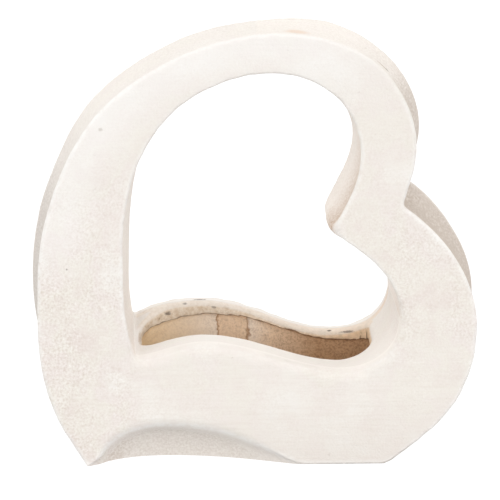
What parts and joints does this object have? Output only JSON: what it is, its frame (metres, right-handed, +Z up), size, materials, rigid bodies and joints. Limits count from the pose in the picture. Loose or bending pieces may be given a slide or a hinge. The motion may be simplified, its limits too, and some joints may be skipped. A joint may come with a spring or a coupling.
{
  "type": "heart ring planter",
  "caption": "Hollow open heart planter in whitewashed fired clay, with an S-curved planting slot in the deck of its ring and a flat foot scooped out front and back.",
  "frame": {"origin": "middle of the bounding box's bottom face, on the surface that the planter stands on", "axes": "+Z up, -Y out of the front face, +X to the right of the front face, towards the heart's lobe"},
  "size_m": [0.3064, 0.12, 0.2909],
  "materials": {
    "whitewashed_clay": "fired clay, brushed with a matt white wash, rubbed back at the edges",
    "bare_clay": "bare fired clay, matt and sandy"
  },
  "bodies": {
    "root": {"front_slab": "whitewashed_clay", "back_slab": "whitewashed_clay", "outer_band": "whitewashed_clay", "lobe_band": "whitewashed_clay", "arch_lining": "whitewashed_clay", "lobe_lining": "whitewashed_clay", "planting_deck": "whitewashed_clay", "base_slab": "bare_clay", "front_cove": "whitewashed_clay", "back_cove": "whitewashed_clay"}
  },
  "joints": []
}
